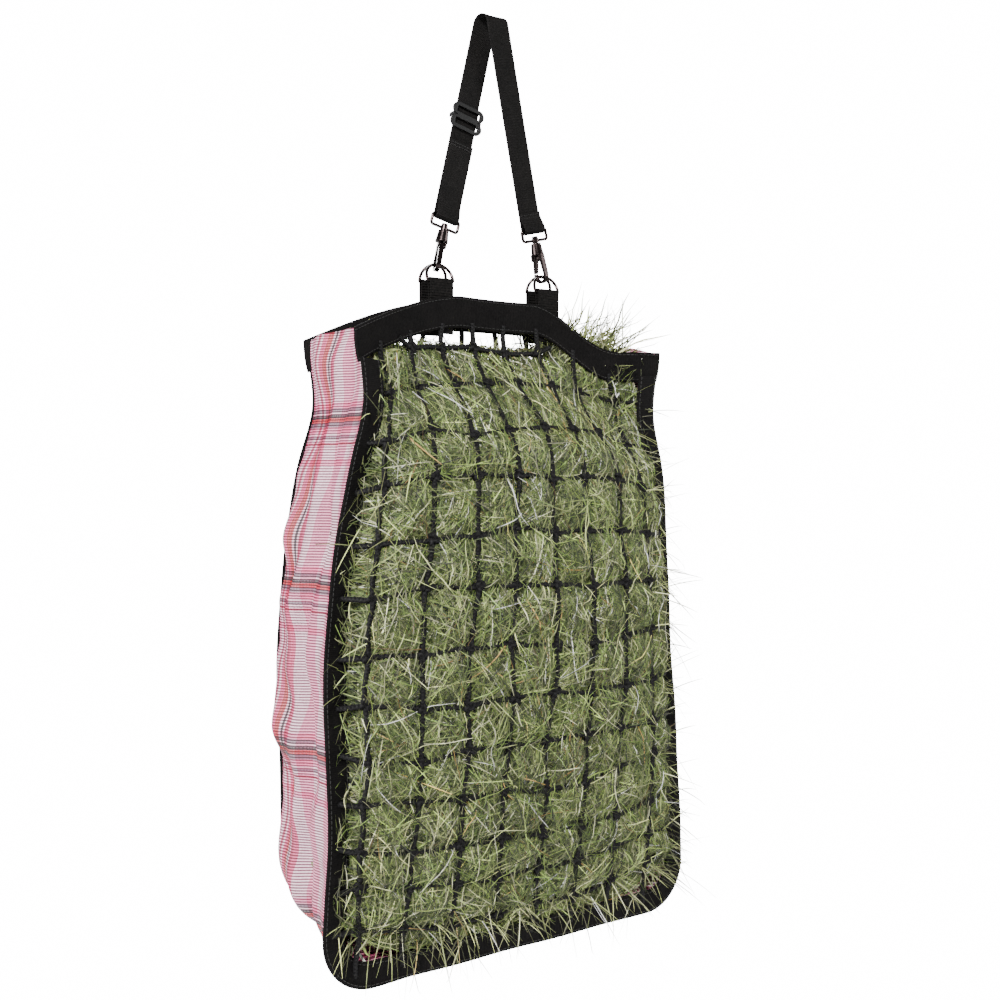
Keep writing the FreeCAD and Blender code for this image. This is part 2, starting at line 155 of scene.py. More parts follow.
def black_plastic():
    m, tree, bsdf = material("slider_plastic", 0.42)
    bsdf.inputs["Base Color"].default_value = (0.004, 0.004, 0.004, 1)
    g = Graph(tree)
    bevel = g.node("ShaderNodeBevel", samples=4)
    bevel.inputs["Radius"].default_value = 0.0009
    g.put(bsdf.inputs["Normal"], bevel.outputs[0])
    return m


def webbing(name, dark, light, pitch=1.4, slant=0.0, rough=0.72, across=1.3):
    """Woven webbing from a UV map in millimetres: u along it, v across it."""
    m, tree, bsdf = material(name, rough)
    g = Graph(tree)
    u, v, _ = g.split(g.uv())
    along = g.math("ADD", u, g.math("MULTIPLY", v, slant))
    a = g.math("SINE", g.math("MULTIPLY", along, 2 * math.pi / pitch))
    b = g.math("SINE", g.math("MULTIPLY", v, 2 * math.pi / across))
    weave = g.math("MULTIPLY", a, b)
    fluff = g.noise(g.coords(), 420.0, 2.0)
    patches = g.noise(g.coords(), 40.0, 3.0)
    # The weave term darkens the low threads, which is painted shade; fluff and patches are random tone
    tone = g.math("ADD", g.math("MULTIPLY", weave, 0.16), g.math("MULTIPLY", fluff, 0.5))
    tone = g.math("ADD", tone, g.math("MULTIPLY", patches, 0.45))
    g.put(bsdf.inputs["Base Color"], g.ramp(tone, [(0.3, dark), (0.85, light)]))
    height = g.math("ADD", weave, g.math("MULTIPLY", fluff, 0.8))
    g.put(bsdf.inputs["Normal"], g.bump(height, 0.55, 0.0004))
    bsdf.inputs["Specular IOR Level"].default_value = 0.12
    return m


def cad_webbing(name, slope):
    """Webbing for CAD pieces with no UV map: ribs across a direction in the X, Z plane."""
    m, tree, bsdf = material(name, 0.72)
    g = Graph(tree)
    x, _, z = g.split(g.coords())
    along = g.math("ADD", g.math("MULTIPLY", x, math.sin(slope)), g.math("MULTIPLY", z, math.cos(slope)))
    ribs = g.math("SINE", g.math("MULTIPLY", along, 2 * math.pi / 0.0026))
    fluff = g.noise(g.coords(), 500.0, 2.0)
    stops = [(0.3, (0.0015, 0.0014, 0.0013)), (0.8, (0.010, 0.0085, 0.008))]
    g.put(bsdf.inputs["Base Color"], g.ramp(fluff, stops))
    g.put(bsdf.inputs["Normal"], g.bump(g.math("ADD", ribs, fluff), 0.7, 0.0005))
    bsdf.inputs["Specular IOR Level"].default_value = 0.12
    return m


def cord_material():
    m, tree, bsdf = material("net_cord", 0.62)
    g = Graph(tree)
    u, v, _ = g.split(g.uv())
    a = g.math("SINE", g.math("ADD", g.math("MULTIPLY", u, 1.9), g.math("MULTIPLY", v, 2 * math.pi * 3)))
    b = g.math("SINE", g.math("SUBTRACT", g.math("MULTIPLY", u, 1.9), g.math("MULTIPLY", v, 2 * math.pi * 3)))
    braid = g.math("MAXIMUM", a, b)
    # Colour follows the braid's height, darker in its grooves than on its crests: painted shade
    stops = [(0.0, (0.0012, 0.0012, 0.0014)), (1.0, (0.009, 0.0085, 0.009))]
    g.put(bsdf.inputs["Base Color"], g.ramp(braid, stops))
    g.put(bsdf.inputs["Normal"], g.bump(braid, 0.6, 0.0005))
    bsdf.inputs["Specular IOR Level"].default_value = 0.2
    return m


def hay_material():
    m, tree, bsdf = material("hay", 0.55)
    g = Graph(tree)
    tint = g.node("ShaderNodeVertexColor", layer_name="tint").outputs[0]
    speck = g.noise(g.coords(), 260.0, 2.0)
    shade = g.ramp(speck, [(0.25, (0.62, 0.62, 0.62)), (0.75, (1.15, 1.15, 1.15))])
    g.put(bsdf.inputs["Base Color"], g.mix(1.0, tint, shade, "MULTIPLY"))
    bsdf.inputs["Subsurface Weight"].default_value = 0.0
    return m


def painted_shade_core_material():
    m, tree, bsdf = material("hay_core_painted_shade", 0.95)
    g = Graph(tree)
    n = g.noise(g.coords(), 120.0, 6.0)
    # Near black with faint green: painted shade for the dark gaps between the stems, not the hay's own colour
    stops = [(0.35, (0.001, 0.0012, 0.0005)), (0.6, (0.006, 0.008, 0.002)), (0.85, (0.03, 0.034, 0.01))]
    g.put(bsdf.inputs["Base Color"], g.ramp(n, stops))
    g.put(bsdf.inputs["Normal"], g.bump(n, 1.0, 0.01))
    return m


def plaid_material():
    """Woven coated mesh. u runs down the strip and v from the front edge to the back, in millimetres."""
    m, tree, bsdf = material("gusset_plaid", 0.48)
    g = Graph(tree)
    u, v, _ = g.split(g.uv())
    white, pale, pink = (0.98, 0.82, 0.87), (0.95, 0.36, 0.54), (0.86, 0.08, 0.26)
    magenta, red = (0.55, 0.008, 0.12), (0.60, 0.012, 0.02)
    dark, grey = (0.01, 0.006, 0.01), (0.22, 0.17, 0.21)
    k = g.math("DIVIDE", v, GUSSET_CUT)
    stripes = g.ramp(
        k,
        [(0.0, pale), (0.10, white), (0.20, pale), (0.30, white), (0.36, pale), (0.47, white), (0.56, pink),
         (0.60, magenta), (0.63, white), (0.645, dark), (0.665, white), (0.68, red), (0.72, pink),
         (0.755, white), (0.775, magenta), (0.80, white), (0.83, pale), (0.92, white), (0.97, pale)],
        "CONSTANT",
    )
    w = g.math("FRACT", g.math("DIVIDE", g.math("ADD", u, 22.0), 150.0))
    bands = g.ramp(
        w,
        [(0.0, white), (0.30, (0.95, 0.80, 0.84)), (0.42, white), (0.55, pale), (0.585, grey), (0.61, white),
         (0.625, dark), (0.645, red), (0.67, grey), (0.70, pale), (0.74, white), (0.76, grey), (0.775, white),
         (0.80, magenta), (0.815, white), (0.9, pale), (0.94, white)],
        "CONSTANT",
    )
    row = g.math("SINE", g.math("MULTIPLY", u, 2 * math.pi / 2.5))
    column = g.math("SINE", g.math("MULTIPLY", v, 2 * math.pi / 2.3))
    checker = g.math("GREATER_THAN", g.math("MULTIPLY", row, column), 0.0)
    colour = g.mix(g.math("ADD", g.math("MULTIPLY", checker, 0.42), 0.29), stripes, bands)
    warm = g.mix(0.75, colour, g.mix(1.0, stripes, bands, "MULTIPLY"))
    dirt = g.ramp(g.noise(g.coords(), 30.0, 4.0), [(0.3, (0.86, 0.84, 0.84)), (0.7, (1.0, 1.0, 1.0))])
    # lines darkens the low half of each weave row: painted shade standing for the weave's holes and grooves
    lines = g.ramp(row, [(0.0, (0.22, 0.10, 0.14)), (0.4, (1.0, 1.0, 1.0))])
    g.put(bsdf.inputs["Base Color"], g.mix(1.0, g.mix(1.0, warm, dirt, "MULTIPLY"), lines, "MULTIPLY"))
    g.put(bsdf.inputs["Normal"], g.bump(g.math("ADD", row, g.math("MULTIPLY", column, 0.7)), 0.45, 0.0004))
    return m


M_METAL = black_nickel()
M_PLASTIC = black_plastic()
M_STRAP = webbing("strap_weave", (0.0012, 0.0011, 0.001), (0.010, 0.0085, 0.008), 2.7, 0.0, 0.66, 1.6)
M_BAND = webbing("band_weave", (0.0012, 0.001, 0.001), (0.009, 0.0078, 0.0075), 2.0, 0.9, 0.8, 2.4)
M_BIND = webbing("binding_weave", (0.0012, 0.001, 0.001), (0.009, 0.0078, 0.0075), 1.8, 0.8, 0.8, 2.2)
M_TAB = cad_webbing("tab_weave", 0.0)
M_RETURN = cad_webbing("return_weave", TILT)
M_CORD = cord_material()
M_HAY = hay_material()
M_CORE = painted_shade_core_material()
M_PLAID = plaid_material()
M_THREAD = material("thread", 0.6)[0]
M_THREAD.node_tree.nodes["Principled BSDF"].inputs["Base Color"].default_value = (0.012, 0.011, 0.011, 1)


# ---------------------------------------------------------------- mesh helpers


def add_mesh(name, verts, faces, mat, body, uv=None, tint=None, smooth=True):
    """An object from millimetre points, faces, an optional UV per point and an optional tint per point."""
    if body == "bag":
        verts = settle(verts)
    me = bpy.data.meshes.new(name)
    if hasattr(faces, "tolist"):
        faces = faces.tolist()
    me.from_pydata((np.asarray(verts) * MM).tolist(), [], faces)
    if uv is not None:
        layer = me.uv_layers.new(name="UVMap")
        index = np.empty(len(me.loops), np.int32)
        me.loops.foreach_get("vertex_index", index)
        layer.data.foreach_set("uv", np.asarray(uv, np.float32)[index].ravel())
    if tint is not None:
        a = me.color_attributes.new("tint", "FLOAT_COLOR", "POINT")
        a.data.foreach_set("color", np.asarray(tint, np.float32).ravel())
    me.polygons.foreach_set("use_smooth", [smooth] * len(me.polygons))
    me.materials.append(mat)
    me.update()
    obj = bpy.data.objects.new(name, me)
    bpy.context.scene.collection.objects.link(obj)
    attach(obj, body)
    return obj


def settle(v):
    """Bag points where the bag really hangs: pinched in under the mouth, and bowed out on the left."""
    v = np.array(v, float)
    t = np.clip((FRONT["z_top"] - v[:, 2]) / (FRONT["z_top"] - FRONT["z_low"]), 0, 1)
    out = -PINCH * np.exp(-(((t - 0.11) / 0.07) ** 2))
    out = out + np.where(v[:, 0] < 0, BOW * np.exp(-(((t - 0.46) / 0.22) ** 2)), 0)
    v[:, 0] *= 1 + np.clip(t / 0.05, 0, 1) * out / half_width(FRONT, v[:, 2])
    return v


def grid_faces(rows, cols, wrap=False, base=0):
    """Quads of a rows by cols grid of points. wrap joins the last column to the first."""
    r = np.arange(rows - 1)[:, None]
    c = np.arange(cols if wrap else cols - 1)[None, :]
    d = (c + 1) % cols
    a = r * cols + c
    b = r * cols + d
    return np.stack([a, b, b + cols, a + cols], -1).reshape(-1, 4) + base


def unit(v):
    return v / np.maximum(np.linalg.norm(v, axis=-1, keepdims=True), 1e-9)


def path_length(p):
    return np.concatenate([[0], np.cumsum(np.linalg.norm(np.diff(p, axis=0), axis=1))])


def resample(p, step, *others):
    """Points of a polyline at equal steps, with any other per-point arrays carried along."""
    s = path_length(p)
    t = np.linspace(0, s[-1], max(int(s[-1] / step), 2) + 1)
    out = [np.stack([np.interp(t, s, q[:, k]) for k in range(q.shape[1])], 1) for q in (p, *others)]
    return t, out


def strap_mesh(p, w, n, width, thick, rib=0.0, pitch=2.7, edge_round=0.35, start=0.0):
    """A closed flat strap with rounded edges and optional ribs. Returns points, faces and UVs."""
    s = path_length(p) + start
    across = np.array([-1, -0.97, -0.85, -0.5, 0, 0.5, 0.85, 0.97, 1]) * width / 2
    full = np.array([edge_round, 0.8, 1, 1, 1, 1, 1, 0.8, edge_round]) * thick / 2
    up = np.concatenate([across, across[::-1]])
    side = np.concatenate([full, -full[::-1]])
    relief = rib * np.abs(np.sin(math.pi * s / pitch))[:, None]
    inset = np.concatenate([np.array([0, 0.6, 1, 1, 1, 1, 1, 0.6, 0])] * 2)
    h = side[None, :] + np.sign(side)[None, :] * inset[None, :] * relief
    pts = p[:, None, :] + w[:, None, :] * up[None, :, None] + n[:, None, :] * h[:, :, None]
    rows, cols = len(p), len(up)
    faces = grid_faces(rows, cols, True).tolist()
    faces.append(list(range(cols))[::-1])
    faces.append([(rows - 1) * cols + k for k in range(cols)])
    uv = np.stack([np.repeat(s, cols), np.tile(up, rows)], 1)
    return pts.reshape(-1, 3), faces, uv


def tube_mesh(p, radius, sides=8, base=0, flat=1.0):
    """An open-ended round tube. radius may be one number or one per point."""
    t = unit(np.gradient(p, axis=0))
    ref = np.where(np.abs(t[:, 1:2]) > 0.9, np.array([[1.0, 0, 0]]), np.array([[0, 1.0, 0]]))
    b = unit(np.cross(t, ref))
    n = np.cross(b, t)
    a = np.linspace(0, 2 * math.pi, sides, endpoint=False)
    r = np.broadcast_to(radius, (len(p),))[:, None, None]
    round_b = b[:, None, :] * np.cos(a)[None, :, None]
    round_n = flat * n[:, None, :] * np.sin(a)[None, :, None]
    pts = p[:, None, :] + r * (round_b + round_n)
    s = path_length(p)
    uv = np.stack([np.repeat(s, sides), np.tile(np.arange(sides) / sides, len(p))], 1)
    return pts.reshape(-1, 3), grid_faces(len(p), sides, True, base), uv


class Bundle:
    """Gathers many small meshes into one object."""

    def __init__(self):
        self.v, self.f, self.u, self.count = [], [], [], 0

    def add(self, verts, faces, uv):
        self.v.append(verts)
        self.f.append(np.asarray(faces) + self.count)
        self.u.append(uv)
        self.count += len(verts)

    def build(self, name, mat, body, slot):
        verts, faces, uv = (np.concatenate(q) for q in (self.v, self.f, self.u))
        return add_mesh(name, verts, faces, mat, body, uv)


def wobble(seed, x, waves=5, low=0.01, high=0.06):
    """A smooth random curve of x, between about -1 and 1."""
    r = np.random.default_rng(seed)
    out = np.zeros_like(np.asarray(x, float))
    for _ in range(waves):
        out = out + r.uniform(0.3, 1) * np.sin(r.uniform(low, high) * x + r.uniform(0, 6.3))
    return out / waves * 1.6


# ---------------------------------------------------------------- shapes shared with the CAD


def arch(x):
    k = np.clip((np.asarray(x, float) - 40) / 95.0, 0, 1)
    right = BAND_LOW + BAND_ARCH * (1 + np.cos(math.pi * k)) / 2
    left = BAND_LOW + BAND_ARCH * (1 - (np.clip(-np.asarray(x, float) - 40, 0, 141) / 141.0) ** 1.5)
    return np.where(np.asarray(x) < -40, left, right)


def mouth_y(x, half):
    k = np.minimum(np.abs(x) / half, 1)
    return MOUTH_HALF + (FACE_Y - MOUTH_HALF) * k * k


def half_width(panel, z):
    k = (panel["z_top"] - z) / (panel["z_top"] - panel["z_low"])
    return panel["top"] + (panel["low"] - panel["top"]) * k


def net_y(face, x, z):
    panel = FRONT if face == "front" else BACK
    x, z = np.asarray(x, float), np.asarray(z, float)
    z_high = arch(x) - BAND_H
    s = np.clip((z_high - z) / (z_high - panel["z_low"] - 25.0), 0, 1)
    f = np.clip(s / 0.22, 0, 1)
    f = f * f * (3 - 2 * f)
    edge = half_width(panel, z) - 15
    across = np.maximum(1 - np.abs(x / edge) ** 3.2, 0) ** 0.65
    bulge = BULGE * across * np.abs(np.sin(math.pi * s**0.8)) ** 0.9
    y = mouth_y(x, panel["top"]) * (1 - f) + FACE_Y * f + bulge * f
    return -y if face == "front" else y


def u_path(panel, inset):
    """Points round a panel's edge, inset, with directions towards its inside."""
    top = np.array([-panel["top"], 0, panel["z_top"]])
    low = np.array([-panel["low"], 0, panel["z_low"]])
    a, b = unit(top - low), np.array([1.0, 0, 0])
    phi = math.acos(a @ b)
    centre = low + unit(a + b) * (CORNER_R / math.sin(phi / 2))
    end = low + a * (CORNER_R / math.tan(phi / 2))
    inward = unit(np.array([a[2], 0, -a[0]]))
    sides = [(top + (end - top) * k, inward) for k in np.linspace(0, 1, 160)]
    d0 = unit(end - centre)
    arcs = []
    for t in np.linspace(0, math.pi - phi, 40)[1:]:
        c, s = math.cos(t), math.sin(t)
        d = np.array([d0[0] * c - d0[2] * s, 0, d0[0] * s + d0[2] * c])
        arcs.append((centre + d * CORNER_R, -d))
    x0 = arcs[-1][0][0]
    up = np.array([0, 0, 1.0])
    floor = [(np.array([x0 * (1 - k), 0, panel["z_low"]]), up) for k in np.linspace(0, 1, 90)[1:]]
    half = sides + arcs + floor
    flip = np.array([-1.0, 1, 1])
    whole = half + [(p * flip, n * flip) for p, n in half[:-1][::-1]]
    p = np.array([q for q, _ in whole])
    n = np.array([m for _, m in whole])
    return p + n * inset, n


# ---------------------------------------------------------------- webbing


def stitches(name, rows, mat, body, slot, pitch=4.2, length=3.0, r=0.45):
    """Sewn thread: short raised dashes along rows of (points, normals)."""
    out = Bundle()
    for p, n in rows:
        t, (q, m) = resample(p, pitch, n)
        for i in range(len(q) - 1):
            d = unit(q[i + 1] - q[i])
            k = np.linspace(0, 1, 5)[:, None]
            rise = np.array([-0.5, 0.25, 0.45, 0.25, -0.5])[:, None] * r
            line = q[i] + d * length * k + unit(m[i]) * rise
            out.add(*tube_mesh(line, r, 5))
    return out.build(name, mat, body, slot)


def leg(side):
    s = -1 if side == "left" else 1
    up = np.array([-s * math.sin(TILT), 0, math.cos(TILT)])
    across = np.array([math.cos(TILT), 0, s * math.sin(TILT)])
    bar = np.array([s * 53.0, 0, -212.0]) + up * 5.5
    low = bar + np.array([0, 3.55, 0])
    dx = math.pi * 7.75 * math.tan(TILT) / 2
    return bar, up, across, low, np.array([s * dx, -s * 7.75, -7.0])


def tail(side, length, gap):
    bar, up, across, low, high = leg(side)
    run = np.linalg.norm(high - low)
    out = []
    for s in np.arange(1, length + 0.1, 1.0):
        k = min(s / 16, 1)
        k = k * k * (3 - 2 * k)
        y = -3.55 * (1 - k) + (low[1] + (high[1] - low[1]) * s / run - gap) * k
        out.append((bar + up * s + np.array([0, y, 0]), across))
    return out


def strap_path():
    out = [(p, w, np.array([0, -1.0, 0])) for p, w in tail("left", 78, 4.4)[::-1]]
    for side in ["left", "right"]:
        bar, up, across, low, high = leg(side)
        turn = []
        for k in range(25):
            a = math.pi * k / 24
            n = np.array([0, math.cos(a), 0]) - up * math.sin(a)
            turn.append((bar + n * 3.55, across, n))
        line = [(low + (high - low) * k, across) for k in np.linspace(0.01, 0.97, 60)]
        if side == "left":
            out += turn[::-1]
            out += [(p, w, np.array([0, 1.0, 0])) for p, w in line]
            for k in range(33):
                a = math.pi * k / 32
                x = (k / 16 - 1) * math.pi * 7.75 * math.tan(TILT) / 2
                n = np.array([0, math.cos(a), math.sin(a)])
                w = np.array([math.cos(TILT), math.sin(TILT) * math.sin(a), -math.sin(TILT) * math.cos(a)])
                out.append((np.array([x, 7.75 * math.cos(a), 7.75 * math.sin(a) - 7]), w, n))
        else:
            out += [(p, w, np.array([0, -1.0, 0])) for p, w in line[::-1]]
            out += [(p, w, -n) for p, w, n in turn]
            out += [(p, w, np.array([0, 1.0, 0])) for p, w in tail("right", 18, 1.7)]
    p, w, n = (np.array([q[k] for q in out]) for k in range(3))
    _, (p, w, n) = resample(p, 0.45, w, n)
    return p, unit(w), unit(n)


strap_p, strap_w, strap_n = strap_path()
verts, faces, uv = strap_mesh(strap_p, strap_w, strap_n, 25.4, 1.15, rib=0.3)
strap = add_mesh("strap", verts, faces, M_STRAP, "strap", uv)
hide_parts("strap_webbing")

rows = []
for side_name, heights in [("right", (12.5, 15.5)), ("left", (72.5, 75.5))]:
    bar, up, across, low, high = leg(side_name)
    gap = 1.7 if side_name == "right" else 4.4
    for s in heights:
        run = np.linalg.norm(high - low)
        y = low[1] + (high[1] - low[1]) * s / run - gap
        k = np.linspace(-11.5, 11.5, 12)[:, None]
        line = bar + up * s + np.array([0, y - 0.95, 0]) + across * k
        rows.append((line, np.tile(np.array([[0, -1.0, 0]]), (12, 1))))
stitches("strap_stitches", rows, M_THREAD, "strap", "strap_webbing", pitch=2.6, length=1.9, r=0.38)


def band_piece(face):
    sign = -1 if face == "front" else 1
    panel = FRONT if face == "front" else BACK
    x = np.linspace(-panel["top"] - 1, panel["top"] + 1, 240)
    sag = wobble(3 if face == "front" else 4, x, 5, 0.02, 0.07)
    y = sign * mouth_y(x, panel["top"])
    z = arch(x) - BAND_H / 2 + 0.9 * sag
    p = np.stack([x, y + 0.6 * sag, z], 1)
    slope = np.gradient(p[:, 1], x)
    n = unit(np.stack([-slope, np.ones_like(x), np.zeros_like(x)], 1))
    lean = 0.05 * wobble(7, x, 4, 0.02, 0.05)[:, None]
    w = unit(np.array([[0, 0, 1.0]]) + n * lean)
    v, f, t = strap_mesh(p, w, n, BAND_H, 2.4, edge_round=0.4)
    obj = add_mesh(face + "_band", v, f, M_BAND, "bag", t)
    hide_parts(face + "_top_band")
    lines = []
    for h in (-BAND_H / 2 + 2.6, BAND_H / 2 - 2.6):
        for side in (sign, ):
            lines.append((p + w * h + n * side * 1.25, n * side))
    stitches(face + "_band_stitches", lines, M_THREAD, "bag", "band_webbing", 4.4, 3.0, 0.42)
    return obj


def binding_piece(face):
    sign = -1 if face == "front" else 1
    panel = FRONT if face == "front" else BACK
    p, inward = u_path(panel, 12.5)
    s = path_length(p)
    keep = p[:, 2] < panel["z_top"] - 22
    p, inward, s = p[keep], inward[keep], s[keep]
    k = wobble(21 if face == "front" else 22, s, 7, 0.012, 0.05)
    p = p + inward * (1.3 * k + 0.8)[:, None]
    p[:, 1] = sign * FACE_Y + 1.3 * wobble(31 if face == "front" else 32, s, 6, 0.015, 0.06)
    n = np.tile(np.array([[0, 1.0, 0]]), (len(p), 1))
    lean = 0.16 * wobble(41 if face == "front" else 42, s, 6, 0.02, 0.06)[:, None]
    if face == "front":
        lean = lean + 0.22 * np.clip((-p[:, 0] - 120) / 30, 0, 1)[:, None]
    w = unit(inward + n * lean)
    n = unit(n - inward * lean)
    v, f, t = strap_mesh(p, w, n, 23.0, 2.6, edge_round=0.55)
    obj = add_mesh(face + "_edge", v, f, M_BIND, "bag", t)
    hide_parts(face + "_binding")
    lines = [(p + w * 8.6 + n * sign * 1.35, n * sign), (p - w * 8.8 + n * sign * 1.35, n * sign)]
    stitches(face + "_edge_stitches", lines, M_THREAD, "bag", "binding_webbing", 4.4, 3.0, 0.42)
    return obj


for face_name in ["front", "back"]:
    band_piece(face_name)
    binding_piece(face_name)


# ---------------------------------------------------------------- gusset


def gusset_piece():
    a, an = u_path(FRONT, 4.6)
    b, bn = u_path(BACK, 4.6)
    s = path_length(a)
    cols = 44
    k = np.linspace(0, 1, cols)
    y0 = FACE_Y - 1.4
    front = a + np.array([0, -y0, 0])
    back = b + np.array([0, y0, 0])
    n = unit(an + bn)
    pts = front[:, None, :] * (1 - k)[None, :, None] + back[:, None, :] * k[None, :, None]
    # Long gathers at the mouth, and short dents along both seams
    z = pts[..., 2]
    near_top = np.clip((z + 560) / 230, 0, 1) ** 2
    hump = np.sin(math.pi * k)[None, :]
    fold = hump * (3.0 + 13.0 * near_top)
    run = s[:, None] + 0 * k[None, :]
    ripple = 2.2 * np.sin(2 * math.pi * k * 2.0 + 1.3 * wobble(51, s, 5, 0.01, 0.04)[:, None]) * hump
    dents = 1.5 * wobble(52, s, 9, 0.05, 0.22)[:, None] * np.exp(-((k - 0.10) ** 2) / 0.012)[None, :]
    dents += 1.5 * wobble(53, s, 9, 0.05, 0.22)[:, None] * np.exp(-((k - 0.90) ** 2) / 0.012)[None, :]
    slack = 2.6 * np.sin(run * 0.035 + 5 * k[None, :]) * hump
    slack = slack + 1.1 * np.sin(run * 0.083 - 7 * k[None, :]) * hump
    proud = 17.0 * np.sin(math.pi * np.clip((k[None, :] - 0.42) / 0.56, 0, 1)) ** 1.2
    proud = proud * (0.72 + 0.5 * wobble(54, s, 6, 0.04, 0.11)[:, None]) * np.clip(1 - near_top * 0.4, 0, 1)
    drift = 0.35 * wobble(55, s, 5, 0.01, 0.035)[:, None]
    waves = 4.2 * np.sin(2 * math.pi * (k[None, :] * 3.2 + drift)) * hump
    waves = waves * (0.45 + 0.55 * np.clip(1.2 - near_top, 0, 1))
    inside = waves + fold + ripple * (0.5 + near_top) + dents + slack * 1.5 - proud
    pts = pts + n[:, None, :] * inside[..., None]
    ends = np.exp(-np.minimum(s, s[-1] - s) / 14.0)[:, None]
    pts[..., 2] += 9.0 * ends * np.sin(math.pi * np.clip(k * 1.1, 0, 1))[None, :]
    rows_n = len(a)
    faces = grid_faces(rows_n, cols)
    level = -331.0 - pts[..., 2]
    uv = np.stack([level.ravel(), np.tile(k * GUSSET_CUT, rows_n)], 1)
    obj = add_mesh("gusset", pts.reshape(-1, 3), faces, M_PLAID, "bag", uv)
    solid = obj.modifiers.new("cloth", "SOLIDIFY")
    solid.thickness = 0.0011
    solid.offset = 0.0
    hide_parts("gusset_strip")
    return obj


gusset_piece()


# ---------------------------------------------------------------- nets


def knot_shape():
    """The middle line of a tight lump of cord. With the cord's thickness a knot is 11 to 14 mm across."""
    t = np.linspace(0, 2 * math.pi, 40)
    x = np.sin(t) + 1.6 * np.sin(2 * t)
    z = np.cos(t) - 1.6 * np.cos(2 * t)
    y = -np.sin(3 * t) * 1.1
    return np.stack([x * 1.35, y * 1.45, z * 1.35], 1)


KNOT = knot_shape()


def row_rise(x, z):
    """The net's rows arch up in the middle near the mouth, and sag near the bottom."""
    lift = np.interp(z, [-870, -640, -390, -350], [-16, 0, 24, 6])
    return lift * (0.55 - (x / 175) ** 2)


def net_piece(face):
    panel = FRONT if face == "front" else BACK
    sign = -1 if face == "front" else 1
    r = np.random.default_rng(61 if face == "front" else 62)
    top = {x0: float(arch(x0 * 0.85) - BAND_H + 6) for x0 in UPRIGHTS}
    rows_z = [z for z in CROSSES if z > panel["z_low"] + 34]
    jitter = {(i, j): (r.normal(0, 2.8), r.normal(0, 3.0)) for i in range(-1, 10) for j in range(14)}

    def at(i, j):
        z = rows_z[j]
        x = UPRIGHTS[i] * float(half_width(panel, z) - 25) / 172
        dx, dz = jitter[(i, j)]
        return x + dx, z + dz + row_rise(x, z)

    ups, crosses, knots = Bundle(), Bundle(), Bundle()
    for i, x0 in enumerate(UPRIGHTS):
        xt = x0 * float(half_width(panel, top[x0]) - 25) / 172
        line = [(xt, top[x0])]
        line += [at(i, j) for j in range(len(rows_z)) if rows_z[j] < top[x0] - 16]
        z_end = panel["z_low"] + 14
        line.append((x0 * float(half_width(panel, z_end) - 25) / 172 * 0.985, z_end))
        line = np.array(line)
        t, (q,) = resample(np.stack([line[:, 0], 0 * line[:, 0], line[:, 1]], 1), 3.0)
        q[:, 0] += 1.5 * wobble(70 + i, t, 4, 0.04, 0.16)
        q[:, 1] = net_y(face, q[:, 0], q[:, 2]) + sign * 0.6
        ups.add(*tube_mesh(q, CORD_R, 8))
    for j, z in enumerate(rows_z):
        inner = [i for i, x0 in enumerate(UPRIGHTS) if z < top[x0] - 16]
        if not inner:
            continue
        spots = [at(i, j) for i in inner]
        edge = float(half_width(panel, z)) - 14
        drop = z - panel["z_low"]
        if drop < CORNER_R:
            edge -= CORNER_R - math.sqrt(CORNER_R**2 - (CORNER_R - drop) ** 2) - 4
        if len(inner) == len(UPRIGHTS):
            fall = row_rise(edge * 0.95, z)
            spots = [(-edge, z + fall + r.normal(0, 2))] + spots + [(edge, z + fall + r.normal(0, 2))]
        else:
            lo, hi = spots[0], spots[-1]
            spots = [(lo[0] - 16, lo[1] + 9)] + spots + [(hi[0] + 16, hi[1] + 9)]
        line = np.array(spots)
        t, (q,) = resample(np.stack([line[:, 0], 0 * line[:, 0], line[:, 1]], 1), 3.0)
        q[:, 2] += 1.5 * wobble(90 + j, t, 4, 0.04, 0.16)
        q[:, 1] = net_y(face, q[:, 0], q[:, 2]) + sign * 0.2
        crosses.add(*tube_mesh(q, CORD_R, 8))
        for i in inner:
            x, zz = at(i, j)
            a = r.uniform(0, 6.28)
            c, s = math.cos(a), math.sin(a)
            k = KNOT * r.uniform(1.05, 1.4)
            turned = np.stack([k[:, 0] * c - k[:, 2] * s, k[:, 1], k[:, 0] * s + k[:, 2] * c], 1)
            turned += np.array([x, float(net_y(face, x, zz)) + sign * 1.0, zz])
            knots.add(*tube_mesh(turned, KNOT_CORD_R, 6))
    up_obj = ups.build(face + "_net_up", M_CORD, "bag", "net_cord")
    cross_obj = crosses.build(face + "_net_across", M_CORD, "bag", "net_cord")
    knots.build(face + "_net_knots", M_CORD, "bag", "net_cord")
    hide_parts(face + "_net_uprights")
    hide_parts(face + "_net_crosses")


net_piece("front")
net_piece("back")


# ---------------------------------------------------------------- hay


def pillow(face, x, z):
    """1 between cords and 0 at them."""
    panel = FRONT if face == "front" else BACK
    scaled = x * 172 / (half_width(panel, z) - 25)
    a = np.abs(np.sin(math.pi * (scaled - 11) / 44.0))
    level = z - row_rise(x, z)
    b = np.abs(np.sin(math.pi * np.interp(-level, [-q for q in CROSSES], range(len(CROSSES)))))
    return np.sqrt(a * b)


def hay_floor(panel, x):
    """The lowest hay at x: the bottom corners stay empty."""
    out = np.clip(np.abs(x) - 105, 0, 110) / 90.0
    return panel["z_low"] + 22 + 46 * out**2


def hay_limit(panel, side, z):
    """How far out the hay reaches. It stands off the strip low down on the right."""
    gap = 10 + 17 * np.clip((z + 560) / 230, 0, 1) ** 2
    if side > 0:
        gap = gap + 22 * np.clip((-620 - z) / 120, 0, 1)
    return half_width(panel, z) - gap


